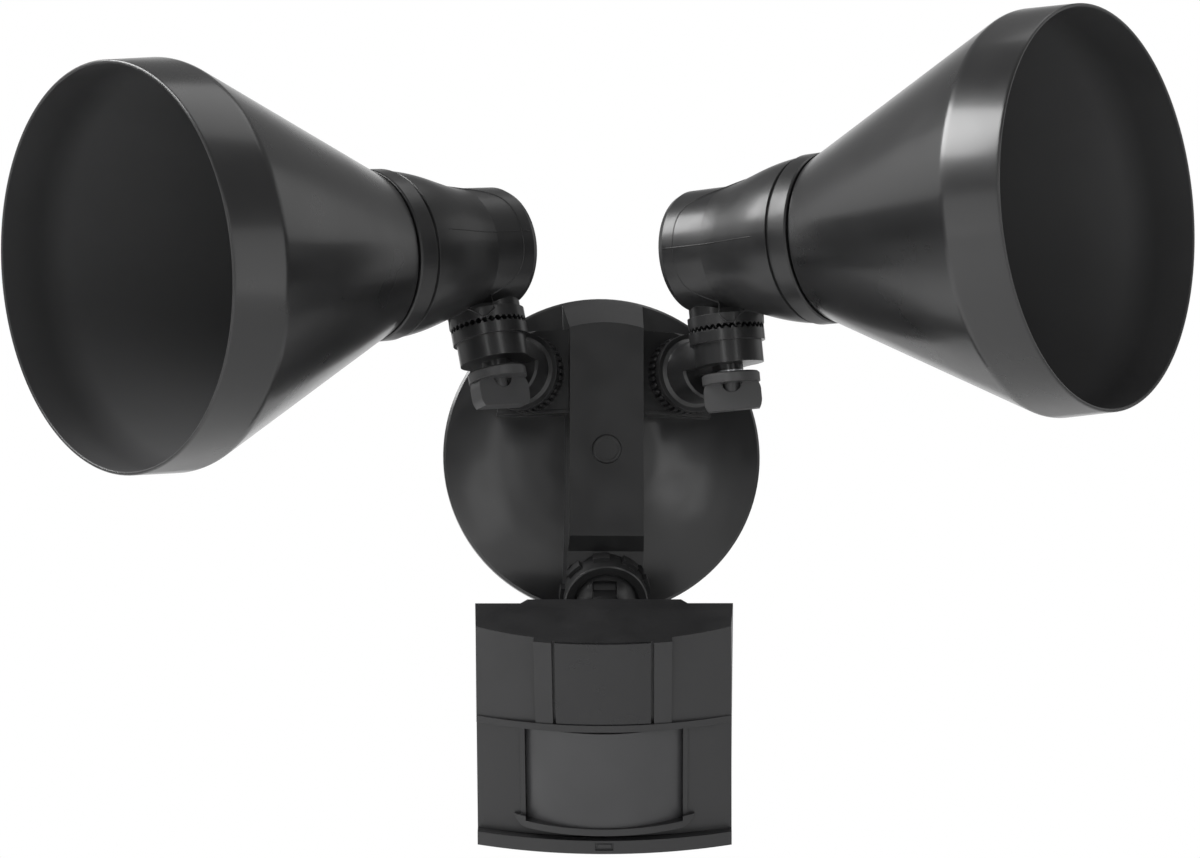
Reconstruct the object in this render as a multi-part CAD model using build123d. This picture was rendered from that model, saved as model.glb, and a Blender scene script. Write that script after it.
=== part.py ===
from build123d import *
from math import cos, radians, sin
import os

os.makedirs("parts", exist_ok=True)

# Driving dimensions, mm and degrees
CANOPY_R = 57.5
CANOPY_SKIN = 2.4
SPINE_Y = -24.0
SPINE_HALF = 13.2
ARM_YAW = 22.0
ARM_X = 29.9
ARM_Y = -19.9
ARM_Z = 27.8
PAN_OFFSET = 29.5
TOOTH_COUNT = 36
TOOTH_HIGH = 0.9
TOOTH_GAP = 0.1
FLANGE_R = 14.0
BARREL_R = 11.2
SPIGOT_R = 6.44
STUB_R = 13.2
TOOTH_Z = 11.8
SHANK_R = 3.15
LAMP_RISE = 39.8
LAMP_DROOP = 4.4
ROLL_L = 11.0
ROLL_R = 6.0
PAN_L = -30.7
PAN_R = 24.1
HOLDER_R = 21.7
COLLAR_R = 29.0
SHADE_NECK_R = 25.95
SHADE_NECK_U = 38.0
SHADE_CREASE_R = 65.5
MOUTH_R = 64.15
MOUTH_U = 149.5
CREASE_U = 131.0
SHELL_R = 13.25
BALL = (0.0, -16.3, -51.7)
BALL_R = 12.0
EYE_R = 9.8
SOCKET_DIP = 32.0
SENSOR_YAW = -5.5
SENSOR_TILT = 25.0
HOUSING_SHIFT = (0.0, -1.0, -2.2)
HEAD_HALF = 43.5
HEAD_WIDE = 45.5
HEAD_WALL = 2.3
HEAD_TOP = 11.2
HEAD_LOW = -70.2
HEAD_BACK = -26.85
HEAD_SPLIT = -34.0
HEAD_FRONT = -48.85
LEDGE_TOP = -21.3
LEDGE_LOW = -23.8
MID_HALF = 23.0
PANEL_HALF = 16.0
PANEL_DEPTH = 1.5
LENS_HALF = 26.8
LENS_TOP = -24.4
LENS_LOW = -60.2
TRAY_HALF = 31.0
TRAY_LOW = -61.8
STRAP_HOLE = 44.45

HUMP_BACK = HEAD_BACK + 3.55
STEM_SEAT = -HUMP_BACK - HOUSING_SHIFT[1]
MIN = (Align.CENTER, Align.CENTER, Align.MIN)


def rod(radius, low, high, x=0.0, y=0.0):
    return Pos(x, y, low) * Cylinder(radius, high - low, align=MIN)


def cone(r_low, r_high, low, high):
    return Pos(0, 0, low) * Cone(r_low, r_high, high - low, align=MIN)


def block(x0, x1, y0, y1, z0, z1):
    return Pos((x0 + x1) / 2, (y0 + y1) / 2, (z0 + z1) / 2) * Box(x1 - x0, y1 - y0, z1 - z0)


def turned(*points):
    return revolve(make_face(Polyline(*[(r, 0, z) for r, z in points], close=True)), Axis.Z)


def plate(points, low, high):
    return Pos(0, 0, low) * extrude(make_face(Polyline(*points, close=True)), high - low)


def tooth_ring(inner, outer, base, tip):
    half = inner * 3.1416 / TOOTH_COUNT * 0.96
    root = base - 0.2 if tip > base else base + 0.2
    section = make_face(Polyline((inner, -half, root), (inner, half, root), (inner, 0, tip), close=True))
    tooth = extrude(section, outer - inner - 0.05, dir=(1, 0, 0))
    return [spot * tooth for spot in PolarLocations(0, TOOTH_COUNT)]


def save(shape, name):
    export_step(shape, "parts/" + name + ".step")


# Frames
SOCKET = Location(BALL) * Location((0, 0, 0), (90 + SOCKET_DIP, 0, 0))
HEAD = Location(BALL) * Location((0, 0, 0), (0, 0, SENSOR_YAW)) * Location((0, 0, 0), (SENSOR_TILT, 0, 0))
HOUSING = HEAD * Location(HOUSING_SHIFT)
BACKWARD = Location((0, 0, 0), (90, 0, 0))


def arm_base(side):
    yaw = side * ARM_YAW
    x = side * (ARM_X + PAN_OFFSET * sin(radians(ARM_YAW)))
    y = ARM_Y - PAN_OFFSET * cos(radians(ARM_YAW))
    return Location((x, y, ARM_Z)) * Location((0, 0, 0), (0, 0, yaw))


def arm_frame(side):
    roll = ROLL_L if side < 0 else ROLL_R
    return arm_base(side) * Location((0, 0, 0), (0, -roll, 0))


def lamp_frame(side):
    return arm_frame(side) * Location((0, 0, 0), (0, 0, PAN_L if side < 0 else PAN_R))


ALONG_ARM = Location((0, PAN_OFFSET, 0)) * BACKWARD
ALONG_LAMP = Location((0, 0, LAMP_RISE), (90 + LAMP_DROOP, 0, 0))


# Canopy
def front_turned(*points):
    return BACKWARD * turned(*points)


def side_wedge(side, inset, low, high):
    slope = sin(radians(ARM_YAW)) / cos(radians(ARM_YAW))
    outer_x = 38.3 - inset
    inner_y = -21.6 + inset / cos(radians(ARM_YAW))
    points = [(13.0, inner_y), (outer_x, inner_y + (outer_x - 13.0) * slope), (outer_x, -1.0), (13.0, -1.0)]
    return plate([(side * x, y) for x, y in points], low, high)


def spine(inset, low_cut):
    face = SPINE_Y + inset
    side = [(face, 60), (face, -30.8), (face + 4, -36), (face + 4, -42.3)]
    side += [(-13.6, -52.5), (-0.5, -53), (-0.5, 60)]
    body = extrude(Plane.YZ * make_face(Polyline(*side, close=True)), 15 - inset, both=True)
    half_low, half_high = 15.0 - inset, SPINE_HALF - inset
    draft = [(-half_low, -0.4), (-half_high, SPINE_Y), (half_high, SPINE_Y), (half_low, -0.4)]
    return body & plate(draft, low_cut, 60)


def make_canopy():
    dome = front_turned((0, 0.4), (CANOPY_R, 0.4), (CANOPY_R, 4.2), (56.6, 5.2), (50, 6.9), (40, 9.1),
                        (30, 10.8), (20, 12.1), (10, 12.8), (0, 13.1))
    trim = front_turned((0, 0.4), (57.2, 0.4), (57.2, 4.4), (45.6, 24), (0, 24))
    solid = dome + (spine(0, -51) & trim)
    for side in (-1, 1):
        solid += side_wedge(side, 0, 13.2, 43.3) & trim
        lip = plate([(side * 13.0, -22.2), (side * 38.6, -11.8), (side * 38.6, -3), (side * 13.0, -3)], 13.2, 14.4)
        solid += lip & trim
    cup = SOCKET * (rod(14.6, -16, -3.2) + rod(13.3, -3.3, 1.2))
    solid -= SOCKET * rod(16.7, -2.7, 12)
    solid += cup & block(-30, 30, -60, -0.4, -90, 0)
    room = front_turned((0, 0), (53.0, 0), (53.0, 4.0), (50, 4.6), (40, 6.7), (30, 8.4), (20, 9.7), (0, 10.7))
    room -= SOCKET * rod(16.2, -40, 5)
    inner_trim = front_turned((0, 0.3), (53.0, 0.3), (53.0, 4.4), (43.2, 21.6), (0, 21.6))
    room += spine(CANOPY_SKIN, -34) & inner_trim
    for side in (-1, 1):
        room += side_wedge(side, 3.2, 16.0, 40.4) & inner_trim
    solid -= room
    solid += front_turned((53, 1.65), (57, 1.65), (57, 4.2), (53, 4.2))
    solid -= front_turned((52.8, 0), (56.65, 0), (56.65, 1.65), (52.8, 1.65))
    boss = BACKWARD * rod(6.4, 6.0, 22.5)
    solid = solid + boss - BACKWARD * rod(2.6, 5, 25) - BACKWARD * rod(4.9, 15, 25)
    star = Pos(0, 0, -6.3) * extrude(make_face(Polyline(*star_points(14.1, 13.0), close=True)), 5.35)
    for side in (-1, 1):
        along = arm_base(side) * ALONG_ARM
        solid += along * (star + tooth_ring(10.4, 13.9, -0.95, -0.05))
        solid += along * rod(10.2, -8.6, -0.95)
        solid -= along * rod(SPIGOT_R + 0.06, -20, 2)
    solid -= SOCKET * Sphere(BALL_R + 0.06)
    solid -= SOCKET * rod(BALL_R + 0.06, 0, 30)
    solid -= SOCKET * rod(4.0, -40, 0)
    return solid


def star_points(outer, inner):
    points = []
    for i in range(TOOTH_COUNT):
        for radius, shift in ((outer, -0.25), (outer, 0.25), (inner, 0.42), (inner, 0.58)):
            angle = radians((i + shift) * 360 / TOOTH_COUNT)
            points.append((radius * cos(angle), radius * sin(angle)))
    return points


def make_gasket():
    return front_turned((52.9, 0), (56.55, 0), (56.55, 1.65), (52.9, 1.65))


def make_strap():
    bar = block(-52, 52, -1.6, 0, -7.5, 7.5)
    bar += BACKWARD * rod(6.5, 0.2, 3.2)
    bar -= BACKWARD * rod(2.1, -1, 6)
    for x in (-STRAP_HOLE, STRAP_HOLE):
        bar -= Pos(x, 2, 0) * BACKWARD * extrude(SlotOverall(9.0, 4.6), 8)
    bar -= Pos(22, 0, 0) * BACKWARD * rod(1.9, -1, 6)
    for x in (-30, 30):
        bar -= Pos(x, 2, 0) * BACKWARD * extrude(SlotOverall(7.0, 3.6, rotation=90), 8)
    return bar


def make_bolt():
    bolt = rod(2.1, 0.2, 15.2) + rod(4.2, 15, 17.6) + cone(4.2, 3.2, 17.6, 18.6)
    return BACKWARD * (bolt - block(-0.5, 0.5, -3.6, 3.6, 17.2, 19))


def make_plug():
    plug = rod(4.85, 20, 24) + cone(5.3, 4.9, 24, 24.7)
    rim = turned((4.0, 24.5), (4.7, 24.5), (4.7, 24.9), (4.0, 24.9))
    return BACKWARD * (plug + rim)


def make_ground_screw():
    screw = rod(1.9, 0, 1.8) + rod(3.9, 1.6, 3.4)
    return Pos(22, 0, 0) * BACKWARD * (screw - block(-0.5, 0.5, -3.5, 3.5, 2.6, 4))


# Arms
def make_knuckle():
    along = rod(FLANGE_R, 0.95, 3.3) + tooth_ring(10.4, 13.9, 0.95, 0.05)
    along += cone(12.4, BARREL_R, 3.3, 4.3) + rod(BARREL_R, 4.3, 15.7) + cone(BARREL_R, 10.4, 15.7, 16.5)
    along += rod(SPIGOT_R, -14.4, 3.3)
    body = ALONG_ARM * along
    upper = (ALONG_ARM * rod(BARREL_R, 10, 26)) & block(-12, 12, 1, 20, -0.6, 12)
    column = rod(12.0, -0.6, 7.6) + rod(STUB_R, 7.0, 10.9) + tooth_ring(9.8, STUB_R, 10.9, TOOTH_Z - TOOTH_GAP / 2)
    shelf = plate([(-7, 16), (-4.6, 4), (-4.6, 0), (4.6, 0), (4.6, 4), (7, 16)], -2.6, 1) + rod(4.6, -2.6, 1)
    body += upper + column + shelf
    body -= rod(SHANK_R + 0.1, -5, 14)
    return body - ALONG_ARM * rod(4.4, -20, 13)


def make_nut():
    ring = Pos(0, 0, -13.6) * extrude(RegularPolygon(9.2, 6), 3.8)
    return ALONG_ARM * (ring - rod(SPIGOT_R, -20, 0))


def make_spring_washer():
    return ALONG_ARM * (rod(9.0, -9.75, -8.65) - rod(SPIGOT_R + 0.2, -12, 0))


def make_clamp_washer():
    return rod(4.6, -3.55, -2.65) - rod(SHANK_R + 0.05, -6, 0)


def make_wing():
    body = rod(10.1, -7.2, -3.6) - turned((9.5, -3.6), (10.2, -3.6), (10.2, -4.3))
    blade = block(-10.0, 10.0, -3.1, 3.1, -16.6, -7.0)
    corner = extrude(Plane.XZ * Pos(0, -11.8) * RectangleRounded(20.0, 14.0, 5.5), 5, both=True)
    dip = Pos(0, 0, -6.6) * Location((0, 0, 0), (90, 0, 0)) * Cylinder(3.7, 8)
    body += (blade & corner) - dip
    return body + rod(3.0, -11.0, -7.0) + rod(SHANK_R, -3.7, 18.4)


# Lamps
def holder_outer():
    start = Polyline((0, 0, -11.2), (18.9, 0, -11.2), (20.9, 0, -10.4), (21.7, 0, -8.4), (21.7, 0, 8))
    sweep = Spline((21.7, 0, 8), (23.4, 0, 17), (26.2, 0, 27), (28.0, 0, 36), (28.4, 0, 39.8))
    end = Polyline((28.4, 0, 39.8), (27.6, 0, 40.2), (27.6, 0, 41.4), (29.0, 0, 41.7), (29.0, 0, 47.8),
                   (28.6, 0, 48.4), (0, 0, 48.4), (0, 0, -11.2))
    return revolve(make_face(start.edges() + sweep.edges() + end.edges()), Axis.Z)


def make_holder():
    body = ALONG_LAMP * holder_outer()
    stub = rod(STUB_R, 12.75, 16.4) + tooth_ring(9.8, STUB_R, 12.75, TOOTH_Z + TOOTH_GAP / 2)
    stub += rod(9.0, 16, 26, 0, 4.2) + block(-6.5, 6.5, -12.2, 4, 16, 24)
    body += stub
    room = turned((0, -8.8), (19.4, -8.8), (19.4, 10), (23.0, 33), (23.0, 35.6), (26.0, 35.6), (26.0, 50), (0, 50))
    posts = rod(3.4, -9.5, -5.6, 8.5, 0) + rod(3.4, -9.5, -5.6, -8.5, 0)
    pilots = rod(1.6, -10.0, -5, 8.5, 0) + rod(1.6, -10.0, -5, -8.5, 0)
    body = body - ALONG_LAMP * room + ALONG_LAMP * posts - ALONG_LAMP * pilots
    return body - rod(5.0, 13.1, 19.0) - rod(SHANK_R + 0.25, 10, 13.2)


def make_insert():
    return rod(5.0, 13.1, 19.0) - rod(SHANK_R + 0.05, 12, 20)


def make_socket():
    cup = rod(17.6, -5.6, 31.0) - rod(14.15, 0.4, 32)
    for x in (-8.5, 8.5):
        cup -= rod(1.75, -7, 2, x, 0)
    return ALONG_LAMP * cup


def make_shell():
    return ALONG_LAMP * turned((11.8, 2.6), (14.1, 2.6), (14.1, 27.4), (SHELL_R, 27.4), (SHELL_R, 3.3), (11.8, 3.3))


def make_contact():
    return ALONG_LAMP * (rod(3.6, 0.4, 1.0) + Pos(0, 0, 0.6) * (Sphere(2.2) & rod(3, 0, 3)))


def make_socket_screws():
    screw = rod(1.6, -9.9, 1.0) + rod(3.0, 0.4, 2.2) - block(-0.4, 0.4, -3.2, 3.2, 1.5, 3)
    return ALONG_LAMP * Compound(children=[Pos(x, 0, 0) * screw for x in (-8.5, 8.5)])


def make_seal():
    return ALONG_LAMP * (rod(25.95, 35.6, 38.0) - rod(16.6, 30, 40))


def make_shade():
    neck, wall = SHADE_NECK_R, 1.1
    outer = [(19, SHADE_NECK_U), (neck, SHADE_NECK_U), (neck, SHADE_NECK_U + 11.2)]
    outer += [(neck + 1.85, SHADE_NECK_U + 12.6), (SHADE_CREASE_R - 1.1, CREASE_U - 1.6)]
    outer += [(SHADE_CREASE_R, CREASE_U), (MOUTH_R, MOUTH_U)]
    inner = [(MOUTH_R - 1.2, MOUTH_U), (SHADE_CREASE_R - 1.2, CREASE_U + 0.2)]
    inner += [(SHADE_CREASE_R - 2.1, CREASE_U - 1.1), (neck + 0.85, SHADE_NECK_U + 13.1), (neck - wall, SHADE_NECK_U + 11.6)]
    inner += [(neck - wall, SHADE_NECK_U + wall), (19, SHADE_NECK_U + wall)]
    return ALONG_LAMP * turned(*outer, *inner)


# Sensor joint
def make_lock_ring():
    body = rod(14.8, -2.4, 5.2) + cone(14.8, 14.3, 5.2, 5.6)
    lug = Pos(14.9, 0, -0.5) * Box(3.0, 6.0, 3.8)
    body += [Location((0, 0, 0), (0, 0, 97.5)) * spot * lug for spot in PolarLocations(0, 9)]
    body &= rod(16.3, -3, 6)
    body -= rod(13.4, -3, 1.4)
    body -= Sphere(BALL_R + 0.08) & rod(13, 0, 6)
    body -= cone(10.9, 12.0, 5.0, 5.7)
    return SOCKET * body


def make_ball():
    body = Sphere(BALL_R) - block(-4.2, 4.2, -20, 0, -20, 20)
    body -= Location((0, 0, 0), (0, 90, 0)) * Cylinder(EYE_R + 0.4, 8.4)
    body -= Location((0, 0, 0), (0, 90, 0)) * Cylinder(2.52, 18.4)
    body -= Location((0, 0, 0), (-90, 0, 0)) * rod(3.0, 5, 20)
    return HEAD * body


def make_pin():
    return HEAD * Location((0, 0, 0), (0, 90, 0)) * Cylinder(2.5, 18.0)


def make_stem():
    eye = Location((0, 0, 0), (0, 90, 0)) * Cylinder(EYE_R, 8.0)
    neck = block(-4, 4, -19.5, 0, -5.5, 5.5)
    collar = cone(6.0, 8.2, 15.6, 20.4) + rod(8.2, 20.4, STEM_SEAT)
    body = eye + neck + BACKWARD * (collar + rod(5.0, 23, 34.5))
    body -= Location((0, 0, 0), (0, 90, 0)) * Cylinder(2.56, 20)
    return HEAD * (body - BACKWARD * rod(2.2, 12, 40))


def make_stem_nut():
    nut = Pos(0, 0, 0.05 - HOUSING_SHIFT[1] - HEAD_BACK + 2.2) * extrude(RegularPolygon(7.6, 6), 3.6)
    return HEAD * BACKWARD * (nut - rod(5.0, 20, 40))


# Sensor head
def bowed(half, back, corner, bow):
    edge = ThreePointArc((-half, corner), (0, corner - bow), (half, corner))
    rest = Polyline((half, corner), (half, back), (-half, back), (-half, corner))
    return make_face(edge.edges() + rest.edges())


def bowed_slab(half, back, corner, bow, low, high):
    return Pos(0, 0, low) * extrude(bowed(half, back, corner, bow), high - low)


def bowed_loft(half, back, corner, bow_low, bow_high, low, high):
    return loft([Pos(0, 0, low) * bowed(half, back, corner, bow_low),
                 Pos(0, 0, high) * bowed(half, back, corner, bow_high)])


def housing_form(back, corner, bow_low, bow_high, low, high):
    grow = (HEAD_WIDE / HEAD_HALF) ** 2
    return loft([Pos(0, 0, z) * bowed(HEAD_WIDE, back, corner + bow * (grow - 1), bow * grow)
                 for z, bow in ((low, bow_low), (high, bow_high))])


def head_sides():
    # Side faces: wider towards the back, and a little wider at the foot of the front
    def outline(y, top_half, low_half):
        return make_face(Polyline((-top_half, y, HEAD_TOP + 3), (top_half, y, HEAD_TOP + 3),
                                  (low_half, y, HEAD_LOW - 3), (-low_half, y, HEAD_LOW - 3), close=True))
    back = outline(HEAD_BACK + 5, HEAD_HALF + 1.2, HEAD_HALF + 0.9)
    return loft([back, outline(HEAD_FRONT - 22, HEAD_HALF - 2.1, HEAD_HALF)], ruled=True)


def raised_middle(depth):
    low = Pos(0, 0, LEDGE_TOP) * bowed(MID_HALF, HEAD_FRONT + 4.8, HEAD_FRONT - 6.65 + depth, 2.4)
    high = Pos(0, 0, HEAD_TOP) * bowed(MID_HALF, HEAD_FRONT + 4.8, HEAD_FRONT - 14.05 + depth, 2.7)
    return loft([low, high])


def screw_spots():
    return [(x, z) for z in (HEAD_TOP - 5.8, HEAD_LOW + 8.7) for x in (5 - HEAD_HALF, HEAD_HALF - 5)]


def screw_column(x, z, hole_r, low, high):
    # A post inside the housing, trimmed to the walls
    reach = HEAD_HALF - HEAD_WALL + 0.4
    spot = Pos(x, 0, z) * BACKWARD
    post = spot * rod(3.2, low, high) & block(-reach, reach, -60, -28, HEAD_LOW + 5, HEAD_TOP - 0.2)
    return post - spot * rod(hole_r, 20, 60)


def make_head_back():
    body = block(-HEAD_WIDE, HEAD_WIDE, HEAD_SPLIT, HEAD_BACK, HEAD_LOW + 5, HEAD_TOP)
    body = chamfer(body.edges().filter_by(Axis.X).group_by(Axis.Z)[-1].sort_by(Axis.Y)[-1:], 1.6)
    body &= head_sides()
    hump = [(-29, HEAD_BACK - 0.5), (-26.5, HUMP_BACK), (26.5, HUMP_BACK), (29, HEAD_BACK - 0.5)]
    body += plate(hump, -13, 10.6)
    reach = HEAD_HALF - HEAD_WALL
    body -= block(-reach, reach, HEAD_SPLIT - 1, HEAD_BACK - 2.2, HEAD_LOW + 4, HEAD_TOP - 2.2)
    for x, z in screw_spots():
        body += screw_column(x, z, 1.65, 28.5, -HEAD_SPLIT)
        body -= Pos(x, 0, z) * BACKWARD * (rod(1.65, 20, 40) + rod(3.1, 20, 28.4))
    for x, z in ((-30, -15), (30, -15), (-30, -52), (30, -52)):
        body += Pos(x, 0, z) * BACKWARD * rod(2.2, 28.5, 31.4)
    return HOUSING * body - HEAD * BACKWARD * rod(5.05, 20, 42)


def make_head_front():
    top = HEAD_TOP
    body = housing_form(HEAD_SPLIT, HEAD_FRONT, 8.2, 13.6, LEDGE_TOP - 0.1, top) + raised_middle(0)
    body += housing_form(HEAD_SPLIT, HEAD_FRONT - 0.4, 9.0, 9.0, LEDGE_LOW, LEDGE_TOP)
    body += housing_form(HEAD_SPLIT, HEAD_FRONT + 3.0, 6.6, 6.6, HEAD_LOW + 5, LEDGE_LOW + 0.1)
    reach = HEAD_HALF - HEAD_WALL
    room = bowed_loft(reach, HEAD_SPLIT + 1, HEAD_FRONT + 2.4, 8.0, 11.4, -20, top - 2.2)
    room += bowed_slab(reach, HEAD_SPLIT + 1, HEAD_FRONT + 6.0, 6.2, HEAD_LOW + 4, -19.9)
    body -= room
    body -= block(-PANEL_HALF - 1, PANEL_HALF + 1, -80, -45, LEDGE_TOP, top + 1) - raised_middle(PANEL_DEPTH)
    body -= block(-13, 13, -80, -40, -15, top - 7)
    body -= block(-LENS_HALF - 0.1, LENS_HALF + 0.1, -80, -40, LENS_LOW - 0.1, LENS_TOP + 0.1)
    for x, z in screw_spots():
        body += screw_column(x, z, 1.5, -HEAD_SPLIT, 46.5)
        body -= Pos(x, 0, z) * BACKWARD * rod(1.5, 33, 44.5)
    return HOUSING * (body & head_sides())


def make_panel():
    body = raised_middle(0) & block(-PANEL_HALF, PANEL_HALF, -80, -50, LEDGE_TOP + 0.1, HEAD_TOP)
    return HOUSING * (body - raised_middle(PANEL_DEPTH))


def make_lens():
    body = bowed_slab(LENS_HALF, -43.4, -48.6, 9.7, LENS_LOW, LENS_TOP)
    body -= bowed_slab(LENS_HALF - 1.2, -40, -48.2, 8.9, LENS_LOW + 1.2, LENS_TOP - 1.2)
    flange = block(-29.6, 29.6, -44.0, -42.9, LENS_LOW - 2, LENS_TOP)
    return HOUSING * (body + flange - block(-24, 24, -44.5, -40, LENS_LOW + 3, LENS_TOP - 3))


def make_lens_frame():
    lip = LENS_HALF + 1.8
    body = bowed_slab(HEAD_HALF, -44, HEAD_FRONT + 2.4, 6.6, TRAY_LOW, LENS_TOP)
    body &= block(-lip, lip, -60, -44, -70, 0)
    tray = bowed_slab(TRAY_HALF, -44, HEAD_FRONT - 1.35, 9.0, TRAY_LOW, LENS_LOW + 2.6)
    rounded = extrude(Plane.XZ * Pos(0, TRAY_LOW + 20) * RectangleRounded(2 * TRAY_HALF, 40, 5.0), 80)
    body += tray & rounded
    body -= block(-LENS_HALF - 0.1, LENS_HALF + 0.1, -80, -40, LENS_LOW + 0.9, 0)
    body -= bowed_slab(LENS_HALF + 0.1, -40, -48.7, 9.7, LENS_LOW - 0.1, 0)
    return HOUSING * (body - housing_form(-30, HEAD_FRONT + 3.0, 6.6, 6.6, -80, 0))


def make_base_cap():
    body = housing_form(HEAD_BACK, HEAD_FRONT, 7.1, 7.1, HEAD_LOW, HEAD_LOW + 5) & head_sides()
    body -= bowed_slab(HEAD_HALF - 2.5, HEAD_BACK - 2.2, HEAD_FRONT + 2.4, 6.8, HEAD_LOW + 2.6, HEAD_LOW + 6)
    body -= block(-3.1, 3.1, -60, HEAD_FRONT - 6.4, HEAD_LOW + 1.3, HEAD_LOW + 4.1)
    body += block(-2.4, 2.4, HEAD_FRONT - 6.7, HEAD_FRONT - 6.0, HEAD_LOW + 1.9, HEAD_LOW + 3.5)
    body += rod(9.0, HEAD_LOW, HEAD_LOW + 4.6, -16, -42)
    body -= rod(7.2, HEAD_LOW - 1, HEAD_LOW + 2.2, -16, -42) + rod(2.6, HEAD_LOW, 0, -16, -42)
    return HOUSING * (body - block(8, 24, -44, -40, HEAD_LOW - 1, 0))


def make_dial():
    knob = rod(6.8, HEAD_LOW - 1.8, HEAD_LOW + 2.1, -16, -42) + rod(2.5, HEAD_LOW, HEAD_LOW + 7.4, -16, -42)
    return HOUSING * (knob - block(-22, -10, -42.6, -41.4, HEAD_LOW - 2.5, HEAD_LOW - 0.6))


def make_switch():
    body = block(13, 19, -43.9, -40.1, HEAD_LOW - 1.8, HEAD_LOW + 4.4)
    return HOUSING * (body + block(11.5, 20.5, -46, -38, HEAD_LOW + 2.65, HEAD_LOW + 4.4))


def make_board():
    return HOUSING * block(9.5 - HEAD_HALF, HEAD_HALF - 9.5, -33.0, -31.4, -58, -9.5)


def make_detector():
    can = rod(5.0, 33.0, 33.8) + rod(4.5, 33.6, 37.4) - block(-2, 2, -1.6, 1.6, 37.0, 38)
    return HOUSING * Pos(0, 0, -43) * BACKWARD * can


def make_photocell():
    return HOUSING * Pos(9, 0, -13) * BACKWARD * (rod(2.6, 33.0, 35.2) - block(-1.5, 1.5, -0.2, 0.2, 34.9, 36))


def make_relay():
    return HOUSING * block(13.5 - HEAD_HALF, 32.5 - HEAD_HALF, -45.0, -33.0, -24, -11)


def make_case_screws():
    screw = rod(2.9, 27.0, 28.4) + rod(1.5, 28, 44)
    screw -= block(-0.4, 0.4, -2.4, 2.4, 26, 27.7) + block(-2.4, 2.4, -0.4, 0.4, 26, 27.7)
    return HOUSING * Compound(children=[Pos(x, 0, z) * BACKWARD * screw for x, z in screw_spots()])


save(make_canopy(), "canopy")
save(make_gasket(), "canopy_gasket")
save(make_strap(), "mounting_strap")
save(make_bolt(), "mounting_bolt")
save(make_plug(), "bolt_plug")
save(make_ground_screw(), "ground_screw")

KNUCKLE = make_knuckle()
HOLDER = make_holder()
SOCKET_CUP = make_socket()
SHADE = make_shade()
WING = make_wing()
for suffix, side, wing_turn in (("_l", -1, 52.0), ("_r", 1, -29.6)):
    arm, lamp = arm_frame(side), lamp_frame(side)
    save(arm * KNUCKLE, "knuckle" + suffix)
    save(arm * make_nut(), "arm_nut" + suffix)
    save(arm * make_spring_washer(), "arm_washer" + suffix)
    save(arm * make_clamp_washer(), "clamp_washer" + suffix)
    save(arm * Location((0, 0, 0), (0, 0, wing_turn)) * WING, "wing_screw" + suffix)
    save(lamp * HOLDER, "lamp_holder" + suffix)
    save(lamp * make_insert(), "stub_insert" + suffix)
    save(lamp * SOCKET_CUP, "socket_body" + suffix)
    save(lamp * make_shell(), "screw_shell" + suffix)
    save(lamp * make_contact(), "centre_contact" + suffix)
    save(lamp * make_socket_screws(), "socket_screws" + suffix)
    save(lamp * make_seal(), "collar_seal" + suffix)
    save(lamp * SHADE, "shade" + suffix)

save(make_lock_ring(), "lock_ring")
save(make_ball(), "swivel_ball")
save(make_pin(), "tilt_pin")
save(make_stem(), "sensor_stem")
save(make_stem_nut(), "stem_nut")
save(make_head_back(), "sensor_back")
save(make_head_front(), "sensor_front")
save(make_panel(), "sensor_panel")
save(make_lens(), "sensor_lens")
save(make_lens_frame(), "lens_frame")
save(make_base_cap(), "base_cap")
save(make_dial(), "range_dial")
save(make_switch(), "time_switch")
save(make_board(), "circuit_board")
save(make_detector(), "heat_detector")
save(make_photocell(), "photocell")
save(make_relay(), "relay")
save(make_case_screws(), "case_screws")
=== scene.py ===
"""Motion sensor security light: finishes, visible pieces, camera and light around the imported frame."""
import math

import bmesh
import bpy
from mathutils import Matrix, Vector
from mathutils.bvhtree import BVHTree


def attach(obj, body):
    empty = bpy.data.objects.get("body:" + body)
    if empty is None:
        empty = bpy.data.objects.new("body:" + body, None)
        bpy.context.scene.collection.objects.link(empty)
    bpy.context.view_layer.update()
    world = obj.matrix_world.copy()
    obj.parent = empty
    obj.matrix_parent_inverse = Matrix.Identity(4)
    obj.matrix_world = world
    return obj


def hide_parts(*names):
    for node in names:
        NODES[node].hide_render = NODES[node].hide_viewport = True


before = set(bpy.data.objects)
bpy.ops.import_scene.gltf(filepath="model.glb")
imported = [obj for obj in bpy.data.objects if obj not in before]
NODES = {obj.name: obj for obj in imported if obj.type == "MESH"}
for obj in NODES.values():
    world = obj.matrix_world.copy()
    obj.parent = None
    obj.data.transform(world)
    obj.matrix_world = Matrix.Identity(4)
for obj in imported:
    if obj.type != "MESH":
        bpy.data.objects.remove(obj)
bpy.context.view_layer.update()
scene = bpy.context.scene

# Sizes shared with the part's source, in metres and degrees; each lamp has its side, roll and pan
LAMP_SIDES = {"_l": (-1, 11.0, -30.7), "_r": (1, 6.0, 24.1)}
ARM_YAW = 22.0
ARM_FOOT = (0.0299, -0.0199, 0.0278)
PAN_OFFSET = 0.0295
LAMP_RISE = 0.0398
LAMP_DROOP = 4.4
SHELL_R = 0.01325
BALL_AT = (0, -0.0163, -0.0517)
BALL_R = 0.012
SENSOR_YAW = -5.5
SENSOR_TILT = 25.0


def turn(degrees, axis):
    return Matrix.Rotation(math.radians(degrees), 4, axis)


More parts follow.
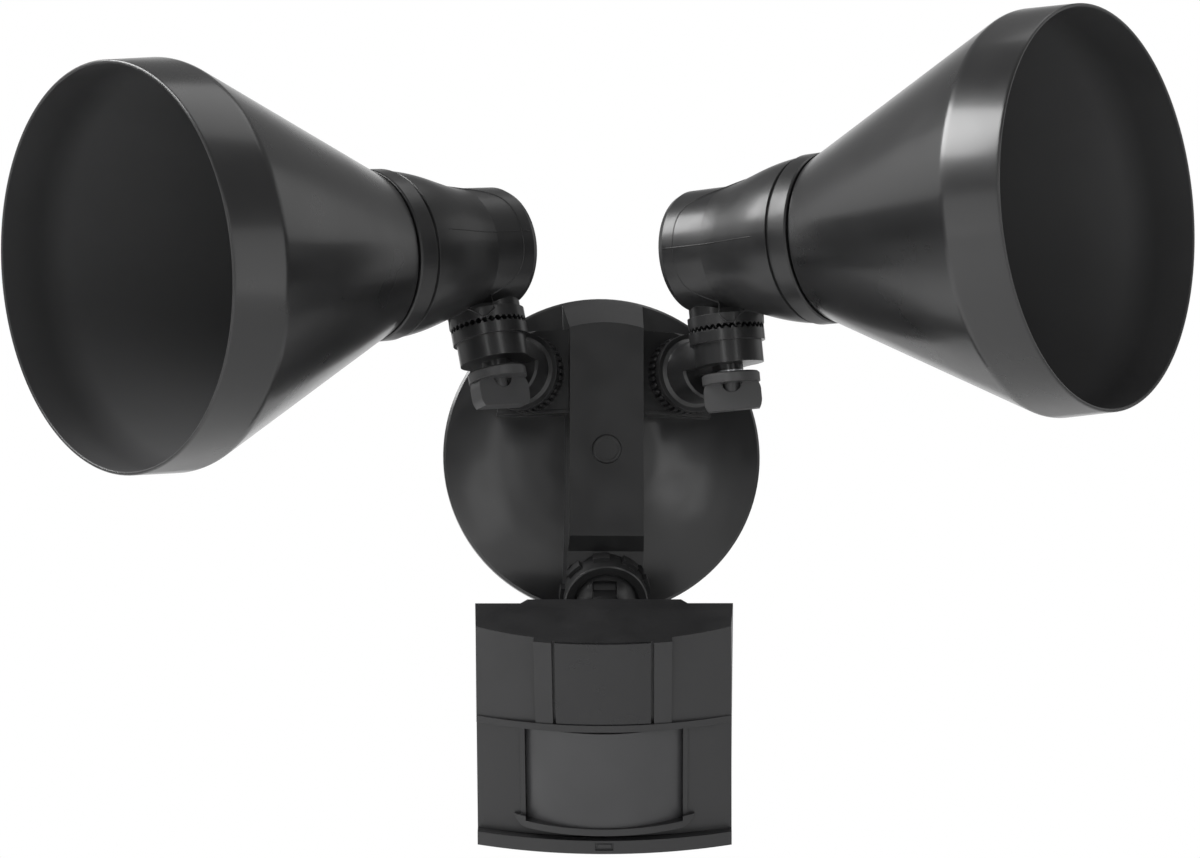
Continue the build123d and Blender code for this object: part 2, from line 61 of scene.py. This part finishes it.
def lamp_frame(side_name):
    """Pan axis of one lamp: origin where it meets the arm, +Z up the axis, -Y towards the shade."""
    side, roll, pan = LAMP_SIDES[side_name]
    yaw = math.radians(ARM_YAW)
    x = side * (ARM_FOOT[0] + PAN_OFFSET * math.sin(yaw))
    y = ARM_FOOT[1] - PAN_OFFSET * math.cos(yaw)
    foot = Matrix.Translation((x, y, ARM_FOOT[2]))
    return foot @ turn(side * ARM_YAW, "Z") @ turn(-roll, "Y") @ turn(pan, "Z")


def lamp_axis(side_name):
    """Optical axis of one lamp: +Z towards the mouth of the shade."""
    return lamp_frame(side_name) @ Matrix.Translation((0, 0, LAMP_RISE)) @ turn(90 + LAMP_DROOP, "X")


# Finishes
REFRACTION = 1.5
COAT_ROUGH = 0.16
NOISE_LOW, NOISE_HIGH = 0.3, 0.7
EDGE_SAMPLES = 4
GRAIN_STRENGTH, GRAIN_ROUGH, GRAIN_TINT = 0.6, 0.16, 0.1
METAL_GRAIN, METAL_EDGE, METAL_DEPTH = 900, 0.0002, 0.00001
METAL_STRENGTH, METAL_ROUGH, METAL_TINT = 0.5, 0.3, 0.08
METAL_BLOTCH, METAL_CLOUD = 150, 60


class Finish:
    """A material under construction: a Principled shader plus the nodes that vary it."""

    def __init__(self, name, colour, rough, metallic=0.0, coat=0.0):
        self.material = bpy.data.materials.new(name)
        self.material.use_nodes = True
        self.tree = self.material.node_tree
        self.shader = self.tree.nodes["Principled BSDF"]
        self.shader.inputs["Base Color"].default_value = (*colour, 1)
        self.shader.inputs["Roughness"].default_value = rough
        self.shader.inputs["Metallic"].default_value = metallic
        self.shader.inputs["IOR"].default_value = REFRACTION
        self.shader.inputs["Coat Weight"].default_value = coat
        self.shader.inputs["Coat Roughness"].default_value = COAT_ROUGH
        self.colour, self.rough = colour, rough
        self.place = self.tree.nodes.new("ShaderNodeTexCoord")
        self.normal = None

    def noise(self, scale, detail, stretch=None):
        node = self.tree.nodes.new("ShaderNodeTexNoise")
        node.inputs["Scale"].default_value = scale
        node.inputs["Detail"].default_value = detail
        source = self.place.outputs["Object"]
        if stretch:
            mapping = self.tree.nodes.new("ShaderNodeMapping")
            mapping.inputs["Scale"].default_value = stretch
            self.tree.links.new(source, mapping.inputs["Vector"])
            source = mapping.outputs["Vector"]
        self.tree.links.new(source, node.inputs["Vector"])
        return node.outputs["Fac"]

    def spread(self, value, low, high):
        node = self.tree.nodes.new("ShaderNodeMapRange")
        node.inputs["From Min"].default_value = NOISE_LOW
        node.inputs["From Max"].default_value = NOISE_HIGH
        node.inputs["To Min"].default_value = low
        node.inputs["To Max"].default_value = high
        self.tree.links.new(value, node.inputs["Value"])
        return node.outputs["Result"]

    def rounded(self, radius):
        node = self.tree.nodes.new("ShaderNodeBevel")
        node.samples = EDGE_SAMPLES
        node.inputs["Radius"].default_value = radius
        self.normal = node.outputs["Normal"]

    def bump(self, height, distance, strength):
        node = self.tree.nodes.new("ShaderNodeBump")
        node.inputs["Distance"].default_value = distance
        node.inputs["Strength"].default_value = strength
        self.tree.links.new(height, node.inputs["Height"])
        if self.normal:
            self.tree.links.new(self.normal, node.inputs["Normal"])
        self.normal = node.outputs["Normal"]

    def vary_rough(self, value, amount):
        result = self.spread(value, self.rough - amount, self.rough + amount)
        self.tree.links.new(result, self.shader.inputs["Roughness"])

    def vary_colour(self, value, amount):
        node = self.tree.nodes.new("ShaderNodeMix")
        node.data_type = "RGBA"
        node.inputs["A"].default_value = (*[c * (1 - amount) for c in self.colour], 1)
        node.inputs["B"].default_value = (*[min(1, c * (1 + amount)) for c in self.colour], 1)
        self.tree.links.new(self.spread(value, 0, 1), node.inputs["Factor"])
        self.tree.links.new(node.outputs["Result"], self.shader.inputs["Base Color"])

    def done(self):
        self.tree.links.new(self.normal, self.shader.inputs["Normal"])
        return self.material


def coated(name, colour, rough, grain=1400, depth=0.00002, edge=0.0003, mottle=90, coat=0.0):
    """Paint or moulded plastic: fine grain, slight mottling and softened edges."""
    finish = Finish(name, colour, rough, coat=coat)
    if edge:
        finish.rounded(edge)
    finish.bump(finish.noise(grain, 3.0), depth, GRAIN_STRENGTH)
    finish.vary_rough(finish.noise(mottle, 4.0), rough * GRAIN_ROUGH)
    finish.vary_colour(finish.noise(mottle * 0.5, 3.0), GRAIN_TINT)
    return finish.done()


def metal(name, colour, rough, stretch=(1, 1, 1)):
    """Plated or bare metal with fine drawn streaks."""
    finish = Finish(name, colour, rough, metallic=1.0)
    finish.rounded(METAL_EDGE)
    finish.bump(finish.noise(METAL_GRAIN, 3.0, stretch), METAL_DEPTH, METAL_STRENGTH)
    finish.vary_rough(finish.noise(METAL_BLOTCH, 4.0), rough * METAL_ROUGH)
    finish.vary_colour(finish.noise(METAL_CLOUD, 2.0), METAL_TINT)
    return finish.done()


def milky_lens():
    """Milky plastic of the sensor's lens, with broad faint clouds."""
    finish = Finish("lens_milky_grey", (0.05, 0.05, 0.052), 0.4)
    finish.rounded(0.0003)
    finish.bump(finish.noise(2600, 2.0), 0.00001, 0.5)
    finish.vary_rough(finish.noise(80, 3.0), 0.05)
    finish.vary_colour(finish.noise(30, 2.0), 0.12)
    return finish.done()


CAST_BLACK = coated("cast_black_paint", (0.013, 0.013, 0.0135), 0.33, grain=2600, depth=0.000012, coat=0.25)
SHEET_BLACK = coated("sheet_black_enamel", (0.012, 0.012, 0.0125), 0.3, grain=1500, depth=0.000008,
                     edge=0.0012, mottle=40, coat=0.5)
SOFT_BLACK = coated("moulded_black", (0.016, 0.016, 0.0165), 0.36, grain=3000, depth=0.00001, coat=0.12)
HEAD_BLACK = coated("sensor_housing_black", (0.026, 0.026, 0.027), 0.44, grain=4200, depth=0.000014)
# The shade's lining is the same black enamel, painted lighter than the outside as painted fill light where
# little light reaches inside the shade.
SHADE_LINING_PAINTED_FILL = coated("shade_inside_painted_fill_light", (0.04, 0.04, 0.041), 0.62, grain=1800, edge=0, mottle=26)
PANEL_BLACK = coated("sensor_panel_black", (0.015, 0.015, 0.016), 0.3, grain=4200, depth=0.000006)
# The wing screw is black plastic; its lighter grey is painted light standing in for the light on its flat
# face.
WING_PAINTED_LIGHT = coated("wing_black_painted_lighter", (0.06, 0.06, 0.061), 0.42, grain=3600, depth=0.000014)
BRASS = metal("drawn_brass", (0.72, 0.53, 0.22), 0.28, stretch=(1, 1, 6))
ZINC = metal("zinc_plate", (0.62, 0.63, 0.65), 0.32)
CAN = metal("detector_can", (0.72, 0.71, 0.68), 0.25)
PORCELAIN = coated("glazed_porcelain", (0.78, 0.76, 0.7), 0.16, grain=500, mottle=60)
RUBBER = coated("black_rubber", (0.016, 0.016, 0.016), 0.62, grain=2200, depth=0.00003)
FOAM = coated("closed_cell_foam", (0.03, 0.03, 0.031), 0.9, grain=900, depth=0.00018, edge=0.0004)
GREEN_PAINT = coated("ground_green", (0.02, 0.22, 0.06), 0.4)
NYLON = coated("natural_nylon", (0.62, 0.61, 0.57), 0.45)
BOARD = coated("board_green", (0.01, 0.12, 0.05), 0.35)
RELAY = coated("relay_blue", (0.01, 0.05, 0.22), 0.3)
CELL = coated("photocell_face", (0.5, 0.24, 0.12), 0.25)
LENS = milky_lens()

DRESS = {
    "canopy": CAST_BLACK, "canopy_gasket": FOAM, "mounting_strap": ZINC, "mounting_bolt": ZINC,
    "bolt_plug": SOFT_BLACK, "ground_screw": GREEN_PAINT, "knuckle": CAST_BLACK, "arm_nut": ZINC,
    "arm_washer": ZINC, "clamp_washer": ZINC, "wing_screw": WING_PAINTED_LIGHT, "lamp_holder": SOFT_BLACK,
    "stub_insert": BRASS, "socket_body": PORCELAIN, "screw_shell": BRASS, "centre_contact": BRASS,
    "socket_screws": ZINC, "collar_seal": RUBBER, "shade": SHEET_BLACK, "lock_ring": SOFT_BLACK,
    "swivel_ball": SOFT_BLACK, "tilt_pin": ZINC, "sensor_stem": SOFT_BLACK, "stem_nut": NYLON,
    "sensor_back": HEAD_BLACK, "sensor_front": HEAD_BLACK, "sensor_panel": PANEL_BLACK, "sensor_lens": LENS,
    "lens_frame": HEAD_BLACK, "base_cap": HEAD_BLACK, "circuit_board": BOARD, "heat_detector": CAN,
    "photocell": CELL, "relay": RELAY, "case_screws": ZINC, "range_dial": SOFT_BLACK,
    "time_switch": SOFT_BLACK,
}
for node_name, node in NODES.items():
    plain_name = node_name[:-2] if node_name[-2:] in LAMP_SIDES else node_name
    node.data.materials.clear()
    node.data.materials.append(DRESS[plain_name])


def fit(name, mesh, body, replaced=()):
    """A finished mesh as a piece of one body, in the place of the nodes that it replaces."""
    piece = bpy.data.objects.new(name, mesh)
    scene.collection.objects.link(piece)
    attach(piece, body)
    for node_name in replaced:
        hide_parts(node_name)


def built_mesh(name, points, faces, material, smooth=True):
    mesh = bpy.data.meshes.new(name)
    mesh.from_pydata([tuple(p) for p in points], [], faces)
    mesh.update()
    mesh.materials.append(material)
    mesh.polygons.foreach_set("use_smooth", [smooth] * len(mesh.polygons))
    return mesh


# Canopy, shaded smooth
CANOPY_BEND = 16
SAME_POINT = 0.000002


def cast_canopy():
    """The canopy node's own surface with its points joined, smooth across bends under CANOPY_BEND."""
    source = NODES["canopy"]
    form = bmesh.new()
    form.from_mesh(source.data)
    form.transform(source.matrix_world)
    bmesh.ops.remove_doubles(form, verts=form.verts, dist=SAME_POINT)
    limit = math.radians(CANOPY_BEND)
    for face in form.faces:
        face.smooth = True
    for edge in form.edges:
        edge.smooth = len(edge.link_faces) == 2 and edge.calc_face_angle() < limit
    mesh = bpy.data.meshes.new("cast_canopy")
    form.to_mesh(mesh)
    form.free()
    mesh.materials.clear()
    mesh.materials.append(CAST_BLACK)
    mesh.polygons.foreach_set("material_index", [0] * len(mesh.polygons))
    fit("cast_canopy", mesh, "base", ("canopy",))


cast_canopy()


# Spun sheet, made by Geometry Nodes: the two screw shells and the two shades
class Rule:
    """A Geometry Nodes tree under construction, with named inputs for its sizes and materials."""

    def __init__(self, name, sizes):
        self.group = bpy.data.node_groups.new(name, "GeometryNodeTree")
        face = self.group.interface
        face.new_socket("Geometry", in_out="INPUT", socket_type="NodeSocketGeometry")
        self.keys = {}
        for label, kind in sizes.items():
            socket = face.new_socket(label, in_out="INPUT", socket_type="NodeSocket" + kind)
            self.keys[label] = socket.identifier
        face.new_socket("Geometry", in_out="OUTPUT", socket_type="NodeSocketGeometry")
        self.given = self.group.nodes.new("NodeGroupInput").outputs

    def node(self, kind, values, **choices):
        """Adds one node; values gives its sockets by name or place, as a number or another socket."""
        node = self.group.nodes.new(kind)
        for choice, setting in choices.items():
            setattr(node, choice, setting)
        for key, value in values.items():
            socket = node.inputs[key]
            if isinstance(key, str):
                socket = next(s for s in node.inputs if s.enabled and s.name == key)
            if isinstance(value, bpy.types.NodeSocket):
                self.group.links.new(value, socket)
            else:
                socket.default_value = value
        return [s for s in node.outputs if s.enabled]

    def math(self, operation, *values):
        return self.node("ShaderNodeMath", dict(enumerate(values)), operation=operation)[0]


def spinning_rule():
    """Spins a closed profile round Z, with a thread rolled into it where the profile asks for one.

    A point of the profile holds the radius in X, the share of the thread's depth in Y and the height in Z.
    The points run up the outside and down the inside, so that the faces point outwards.
    """
    rule = Rule("spun_sheet", {"Turns": "Int", "Thread Pitch": "Float", "Thread Depth": "Float",
                               "Lining Start": "Int", "Outside": "Material", "Lining": "Material"})
    profile, turns, pitch, depth, start, outside, lining = rule.given[:7]
    count = rule.node("GeometryNodeAttributeDomainSize", {"Geometry": profile}, component="MESH")[0]
    row_length = rule.math("ADD", turns, 1)
    grid = rule.node("GeometryNodeMeshGrid", {"Vertices X": rule.math("ADD", count, 1),
                                              "Vertices Y": row_length})[0]
    index = rule.node("GeometryNodeInputIndex", {})[0]
    row = rule.math("FLOOR", rule.math("DIVIDE", index, row_length))
    share = rule.math("DIVIDE", rule.math("FLOORED_MODULO", index, row_length), turns)
    angle = rule.math("MULTIPLY", share, 2 * math.pi)

    position = rule.node("GeometryNodeInputPosition", {})[0]
    point = rule.math("FLOORED_MODULO", row, count)
    spot = rule.node("GeometryNodeSampleIndex", {"Geometry": profile, "Value": position, "Index": point},
                     data_type="FLOAT_VECTOR")[0]
    radius, threaded, height = rule.node("ShaderNodeSeparateXYZ", {0: spot})
    climb = rule.math("MULTIPLY", rule.math("DIVIDE", height, pitch), 2 * math.pi)
    phase = rule.math("SUBTRACT", climb, angle)
    wave = rule.math("MULTIPLY_ADD", rule.math("COSINE", phase), -0.5, 0.5)
    sunk = rule.math("MULTIPLY", rule.math("MULTIPLY", depth, threaded), wave)
    rolled = rule.math("SUBTRACT", radius, sunk)
    place = rule.node("ShaderNodeCombineXYZ", {0: rule.math("MULTIPLY", rolled, rule.math("COSINE", angle)),
                                               1: rule.math("MULTIPLY", rolled, rule.math("SINE", angle)),
                                               2: height})[0]
    sheet = rule.node("GeometryNodeSetPosition", {"Geometry": grid, "Position": place})[0]
    sheet = rule.node("GeometryNodeMergeByDistance", {"Geometry": sheet, "Distance": SAME_POINT})[0]
    sheet = rule.node("GeometryNodeFlipFaces", {"Mesh": sheet})[0]
    sheet = rule.node("GeometryNodeRealizeInstances", {"Geometry": sheet})[0]
    sheet = rule.node("GeometryNodeSetMaterial", {"Geometry": sheet, "Material": outside})[0]
    face_row = rule.math("FLOOR", rule.math("DIVIDE", index, turns))
    lined = rule.math("GREATER_THAN", rule.math("ADD", face_row, 0.5), start)
    sheet = rule.node("GeometryNodeSetMaterial",
                      {"Geometry": sheet, "Selection": lined, "Material": lining})[0]
    rule.group.links.new(sheet, rule.group.nodes.new("NodeGroupOutput").inputs[0])
    return rule


SPINNING = spinning_rule()


def spun_mesh(name, profile, side_name, sizes):
    """Plain mesh of one closed profile of (radius, thread share, height), spun round the lamp's axis."""
    outline = bpy.data.meshes.new(name + "_profile")
    outline.from_pydata(profile, [], [])
    blank = bpy.data.objects.new(name + "_profile", outline)
    scene.collection.objects.link(blank)
    modifier = blank.modifiers.new("spin", "NODES")
    modifier.node_group = SPINNING.group
    for label, value in sizes.items():
        modifier[SPINNING.keys[label]] = value
    depsgraph = bpy.context.evaluated_depsgraph_get()
    mesh = bpy.data.meshes.new_from_object(blank.evaluated_get(depsgraph), depsgraph=depsgraph)
    blank.modifiers.remove(modifier)
    bpy.data.objects.remove(blank)
    bpy.data.meshes.remove(outline)
    mesh.name = name
    mesh.transform(lamp_axis(side_name))
    mesh.polygons.foreach_set("use_smooth", [True] * len(mesh.polygons))
    return mesh


# Threaded screw shells
THREAD_PITCH = 0.00363
THREAD_DEPTH = 0.00054
THREAD_STEPS, FADE_STEPS = 84, 8
SHELL_TURNS = 72
SHELL_WALL = 0.00024
SHELL_LOW, SHELL_HIGH = 0.0027, 0.0274
SHELL_BEND = 0.0006
SHELL_HOLE_R, SHELL_FLOOR = 0.0118, 0.0003


def threaded_shell(side_name):
    """Rolled brass shell: a thin wall whose section waves along a helix, with a turned-in floor."""
    low = SHELL_LOW + SHELL_BEND
    inner_r = SHELL_R + THREAD_DEPTH
    rise = []
    for j in range(THREAD_STEPS + 1):
        share = min(1.0, j / FADE_STEPS, (THREAD_STEPS - j) / FADE_STEPS)
        rise.append((share, low + (SHELL_HIGH - low) * j / THREAD_STEPS))
    floor = [(SHELL_HOLE_R, 0, SHELL_LOW + SHELL_FLOOR), (SHELL_HOLE_R, 0, SHELL_LOW)]
    outside = [(inner_r + SHELL_WALL, share, z) for share, z in rise]
    inside = [(inner_r, share, z) for share, z in reversed(rise)]
    profile = floor + outside + inside
    name = "threaded_shell" + side_name
    mesh = spun_mesh(name, profile, side_name, {
        "Turns": SHELL_TURNS, "Thread Pitch": THREAD_PITCH, "Thread Depth": THREAD_DEPTH,
        "Lining Start": len(profile), "Outside": BRASS, "Lining": BRASS})
    fit(name, mesh, "lamp" + side_name, ("screw_shell" + side_name,))


# Shades: radius and distance along the lamp's axis of each bend in the sheet
SHADE_TURNS = 160
SHADE_WALL = 0.0012
NECK_HOLE_R = 0.019
NECK_R, NECK_U = 0.02595, 0.038
CONE_R, CONE_U = 0.0285, 0.0492
CONE_STEP = 0.0003
FOLD_R, FOLD_U = 0.0652, 0.1304
LIP_R, LIP_U = 0.06415, 0.1495
INNER_FOLD_R, INNER_FOLD_U = 0.0639, 0.13
INNER_CONE_R, INNER_CONE_U = 0.0268, 0.0511
INNER_STEP_U = 0.0496
EASE_STEPS = 7


def softened(corners):
    """Closed profile whose corners, each (radius, distance, ease), are curves that start their ease away."""
    spots = [Vector(corner[:2]) for corner in corners]
    path = []
    for i, corner in enumerate(spots):
        ease = corners[i][2]
        if ease == 0:
            path.append(corner)
            continue
        start = corner + (spots[i - 1] - corner).normalized() * ease
        end = corner + (spots[(i + 1) % len(spots)] - corner).normalized() * ease
        for k in range(EASE_STEPS + 1):
            t = k / EASE_STEPS
            path.append(start * (1 - t) ** 2 + corner * (2 * t * (1 - t)) + end * t ** 2)
    return path


def spun_shade(side_name):
    """One spun sheet with a soft fold and a rounded lip, lined from the lip inwards with matt paint whose
    lighter colour is painted fill light inside the shade.
    """
    inner_neck_r = NECK_R - SHADE_WALL
    inner_neck_u = NECK_U + SHADE_WALL
    outside = [(NECK_HOLE_R, NECK_U, 0), (NECK_R, NECK_U, 0.0006), (NECK_R, CONE_U - CONE_STEP, 0.0003),
               (CONE_R, CONE_U, 0.0004), (FOLD_R, FOLD_U, 0.0016), (LIP_R, LIP_U, 0.00055)]
    inside = [(LIP_R - SHADE_WALL, LIP_U, 0.00055), (INNER_FOLD_R, INNER_FOLD_U, 0.006),
              (INNER_CONE_R, INNER_CONE_U, 0.001), (inner_neck_r, INNER_STEP_U, 0.0008),
              (inner_neck_r, inner_neck_u, 0.0004), (NECK_HOLE_R, inner_neck_u, 0)]
    mouth = sum(EASE_STEPS + 1 if ease else 1 for _, _, ease in outside) + EASE_STEPS // 2
    profile = [(radius, 0, u) for radius, u in softened(outside + inside)]
    name = "spun_shade" + side_name
    mesh = spun_mesh(name, profile, side_name, {
        "Turns": SHADE_TURNS, "Thread Pitch": THREAD_PITCH, "Thread Depth": 0.0,
        "Lining Start": mouth, "Outside": SHEET_BLACK, "Lining": SHADE_LINING_PAINTED_FILL})
    fit(name, mesh, "lamp" + side_name, ("shade" + side_name,))


# Mould seams on the lamp holders: distance along the lamp's axis and degrees round it
SEAM_HALF, SEAM_HIGH = 0.0004, 0.00032
SEAM_START, SEAM_STEP, SEAM_SPOTS = -0.0078, 0.0021, 21
SEAM_STRAIGHT = [(SEAM_START + SEAM_STEP * i, 0.0) for i in range(SEAM_SPOTS)]
SEAM_ARM = [(-0.0034, 26), (-0.0015, 41), (0.003, 53), (0.009, 66), (0.0165, 80)]
SEAM_U = [(u, -degrees) for u, degrees in reversed(SEAM_ARM)] + [(-0.0038, 0)] + SEAM_ARM
CURVE_STEPS = 6
RAY_REACH = 0.05


def eased(points):
    """Smooth curve through the points."""
    path = []
    last = len(points) - 1
    for i in range(last):
        before, here, after, later = [Vector(points[max(0, min(last, k))]) for k in (i - 1, i, i + 1, i + 2)]
        for k in range(CURVE_STEPS):
            t = k / CURVE_STEPS
            path.append(0.5 * (2 * here + (after - before) * t
                               + (2 * before - 5 * here + 4 * after - later) * t ** 2
                               + (3 * here - before - 3 * after + later) * t ** 3))
    return path + [Vector(points[-1])]


def mould_seams(side_name):
    """Thin raised lines laid on the holder: one along each flank and a U round its closed end."""
    place = lamp_axis(side_name)
    holder = NODES["lamp_holder" + side_name].data
    surface = BVHTree.FromPolygons([v.co for v in holder.vertices],
                                   [tuple(f.vertices) for f in holder.polygons])
    points, faces = [], []
    for flank in (0, 180):
        for line in (SEAM_STRAIGHT, eased(SEAM_U)):
            spots = []
            for u, degrees in line:
                angle = math.radians(flank + degrees)
                out = place.to_3x3() @ Vector((math.cos(angle), math.sin(angle), 0))
                hit = surface.ray_cast(place @ Vector((0, 0, u)) + out * RAY_REACH, -out)[0]
                if hit is not None:
                    spots.append((hit, out))
            first = len(points)
            for i, (spot, out) in enumerate(spots):
                run = spots[min(i + 1, len(spots) - 1)][0] - spots[max(i - 1, 0)][0]
                across = run.cross(out).normalized() * SEAM_HALF
                sunk = spot - out * SEAM_HIGH
                points += [sunk + across, spot + out * SEAM_HIGH, sunk - across]
            for i in range(len(spots) - 1):
                for k in range(3):
                    a, b = first + 3 * i + k, first + 3 * i + (k + 1) % 3
                    faces.append((a, a + 3, b + 3, b))
            end = len(points) - 3
            faces += [(first, first + 1, first + 2), (end, end + 2, end + 1)]
    name = "mould_seams" + side_name
    fit(name, built_mesh(name, points, faces, SOFT_BLACK), "lamp" + side_name)


# Closed top of the swivel ball's slot
CROWN_INNER_R = 0.01025
CROWN_HALF = 0.0042
CROWN_START, CROWN_SPAN = 49, 63
CROWN_ACROSS, CROWN_ALONG = 9, 19


def ball_crown():
    """Top of the swivel ball's slot, closed above the stem's travel."""
    place = Matrix.Translation(BALL_AT) @ turn(SENSOR_YAW, "Z") @ turn(SENSOR_TILT, "X")
    points, faces = [], []
    for inner in (False, True):
        for j in range(CROWN_ALONG):
            angle = math.radians(CROWN_START + CROWN_SPAN * j / (CROWN_ALONG - 1))
            for i in range(CROWN_ACROSS):
                x = CROWN_HALF * (2 * i / (CROWN_ACROSS - 1) - 1)
                radius = CROWN_INNER_R if inner else math.sqrt(BALL_R ** 2 - x ** 2)
                points.append(place @ Vector((x, -radius * math.cos(angle), radius * math.sin(angle))))
    size = CROWN_ACROSS * CROWN_ALONG
    for j in range(CROWN_ALONG - 1):
        for i in range(CROWN_ACROSS - 1):
            a = j * CROWN_ACROSS + i
            b = a + CROWN_ACROSS
            faces.append((a, a + 1, b + 1, b))
            faces.append((size + a, size + b, size + b + 1, size + a + 1))
    rim = list(range(CROWN_ACROSS))
    rim += [j * CROWN_ACROSS + CROWN_ACROSS - 1 for j in range(1, CROWN_ALONG)]
    rim += [size - 2 - i for i in range(CROWN_ACROSS - 1)]
    rim += [j * CROWN_ACROSS for j in range(CROWN_ALONG - 2, 0, -1)]
    for k, a in enumerate(rim):
        b = rim[(k + 1) % len(rim)]
        faces.append((a, size + a, size + b, b))
    mesh = built_mesh("ball_crown", points, faces, SOFT_BLACK, smooth=False)
    fit("ball_crown", mesh, "ball")


ball_crown()
for side_name in LAMP_SIDES:
    threaded_shell(side_name)
    spun_shade(side_name)
    mould_seams(side_name)

# Camera, fitted to the photograph
PICTURE_W = 1200
CAMERA_AT = (-0.0768, -0.9363, -0.1093)
CAMERA_YAW, CAMERA_PITCH = 4.66, 7.25
FOCAL_PX = 2600.0
SENSOR_W = 36.0


def photo_camera():
    data = bpy.data.cameras.new("camera")
    data.sensor_width = SENSOR_W
    data.lens = SENSOR_W * FOCAL_PX / PICTURE_W
    data.clip_start, data.clip_end = 0.02, 30.0
    camera = bpy.data.objects.new("camera", data)
    scene.collection.objects.link(camera)
    yaw, pitch = math.radians(CAMERA_YAW), math.radians(CAMERA_PITCH)
    forward = Vector((math.sin(yaw) * math.cos(pitch), math.cos(yaw) * math.cos(pitch), math.sin(pitch)))
    camera.location = CAMERA_AT
    camera.rotation_euler = forward.to_track_quat("-Z", "Y").to_euler()
    scene.camera = camera


photo_camera()
scene.view_settings.view_transform = "Standard"

# Floor and lights
FLOOR_Z, FLOOR_HALF = -0.32, 2.2
FLOOR_GREY, FLOOR_ROUGH = 0.86, 0.9


def pale_floor():
    """Pale matt floor that shows the object's shadow."""
    material = bpy.data.materials.new("pale_floor")
    material.use_nodes = True
    shader = material.node_tree.nodes["Principled BSDF"]
    shader.inputs["Base Color"].default_value = (FLOOR_GREY, FLOOR_GREY, FLOOR_GREY, 1)
    shader.inputs["Roughness"].default_value = FLOOR_ROUGH
    mesh = bpy.data.meshes.new("floor")
    corners = [(x * FLOOR_HALF, y * FLOOR_HALF, FLOOR_Z) for x, y in ((-1, -1), (1, -1), (1, 1), (-1, 1))]
    mesh.from_pydata(corners, [], [(0, 1, 2, 3)])
    mesh.materials.append(material)
    floor = bpy.data.objects.new("floor", mesh)
    scene.collection.objects.link(floor)


pale_floor()


def softbox(name, at, look, size, power):
    data = bpy.data.lights.new(name, "AREA")
    data.shape = "RECTANGLE"
    data.size, data.size_y = size
    data.energy = power
    lamp = bpy.data.objects.new(name, data)
    lamp.location = at
    lamp.rotation_euler = (Vector(look) - Vector(at)).to_track_quat("-Z", "Y").to_euler()
    scene.collection.objects.link(lamp)


# Place, aim, width and height in metres, and power in watts
softbox("key_light", (-0.86, -0.2, 0.73), (0.04, -0.08, 0.03), (0.9, 0.5), 15.0)
softbox("top_light", (0.3, 0.05, 1.15), (0.02, -0.08, 0.03), (0.8, 0.6), 1.6)
softbox("left_back_light", (-1.05, 0.45, 0.42), (0, -0.05, 0.05), (0.7, 0.7), 1.0)
softbox("right_back_light", (1.1, 0.42, 0.5), (0, -0.05, 0.05), (0.8, 0.8), 0.8)
softbox("left_wall", (-1.1, -0.6, -0.3), (0, -0.1, 0.0), (0.7, 0.9), 2.0)
softbox("right_wall", (1.1, -0.65, -0.1), (0, -0.1, 0.0), (0.7, 1.0), 2.1)
softbox("front_left_strip", (-0.56, -1.4, 0.06), (0, -0.02, -0.01), (0.2, 0.75), 1.3)
softbox("front_right_strip", (0.56, -1.35, 0.2), (0, -0.02, 0), (0.3, 0.8), 2.1)
softbox("low_front_light", (0.0, -0.7, -0.31), (0, -0.02, -0.04), (0.5, 0.2), 0.12)

# World: white to the camera; in reflections a white backdrop straight behind and dim elsewhere
DIM, WHITE, PLAIN = 0.22, 1.0, 0.34
BACKDROP_EDGE, BACKDROP_FULL = 0.78, 0.97


def studio_world():
    """World whose strength depends on the kind of ray: camera, reflection or plain light."""
    world = bpy.data.worlds.new("studio")
    world.use_nodes = True
    scene.world = world
    tree = world.node_tree
    background = tree.nodes["Background"]
    background.inputs["Color"].default_value = (1, 1, 1, 1)
    path = tree.nodes.new("ShaderNodeLightPath").outputs

    def combined(operation, first, second):
        node = tree.nodes.new("ShaderNodeMath")
        node.operation = operation
        for socket, value in zip(node.inputs, (first, second)):
            if isinstance(value, (int, float)):
                socket.default_value = value
            else:
                tree.links.new(value, socket)
        return node.outputs[0]

    direction = tree.nodes.new("ShaderNodeTexCoord")
    split = tree.nodes.new("ShaderNodeSeparateXYZ")
    tree.links.new(direction.outputs["Generated"], split.inputs[0])
    backdrop = tree.nodes.new("ShaderNodeMapRange")
    backdrop.interpolation_type = "SMOOTHSTEP"
    backdrop.inputs["From Min"].default_value = BACKDROP_EDGE
    backdrop.inputs["From Max"].default_value = BACKDROP_FULL
    backdrop.inputs["To Min"].default_value = DIM
    backdrop.inputs["To Max"].default_value = WHITE
    tree.links.new(split.outputs["Y"], backdrop.inputs["Value"])
    seen = combined("MAXIMUM", path["Is Camera Ray"], path["Is Transmission Ray"])
    glossy = combined("MAXIMUM", combined("SUBTRACT", path["Is Glossy Ray"], seen), 0.0)
    plain = combined("SUBTRACT", combined("SUBTRACT", 1.0, seen), glossy)
    strength = combined("ADD", combined("MULTIPLY", seen, WHITE),
                        combined("MULTIPLY", glossy, backdrop.outputs["Result"]))
    strength = combined("ADD", strength, combined("MULTIPLY", plain, PLAIN))
    tree.links.new(strength, background.inputs["Strength"])


studio_world()
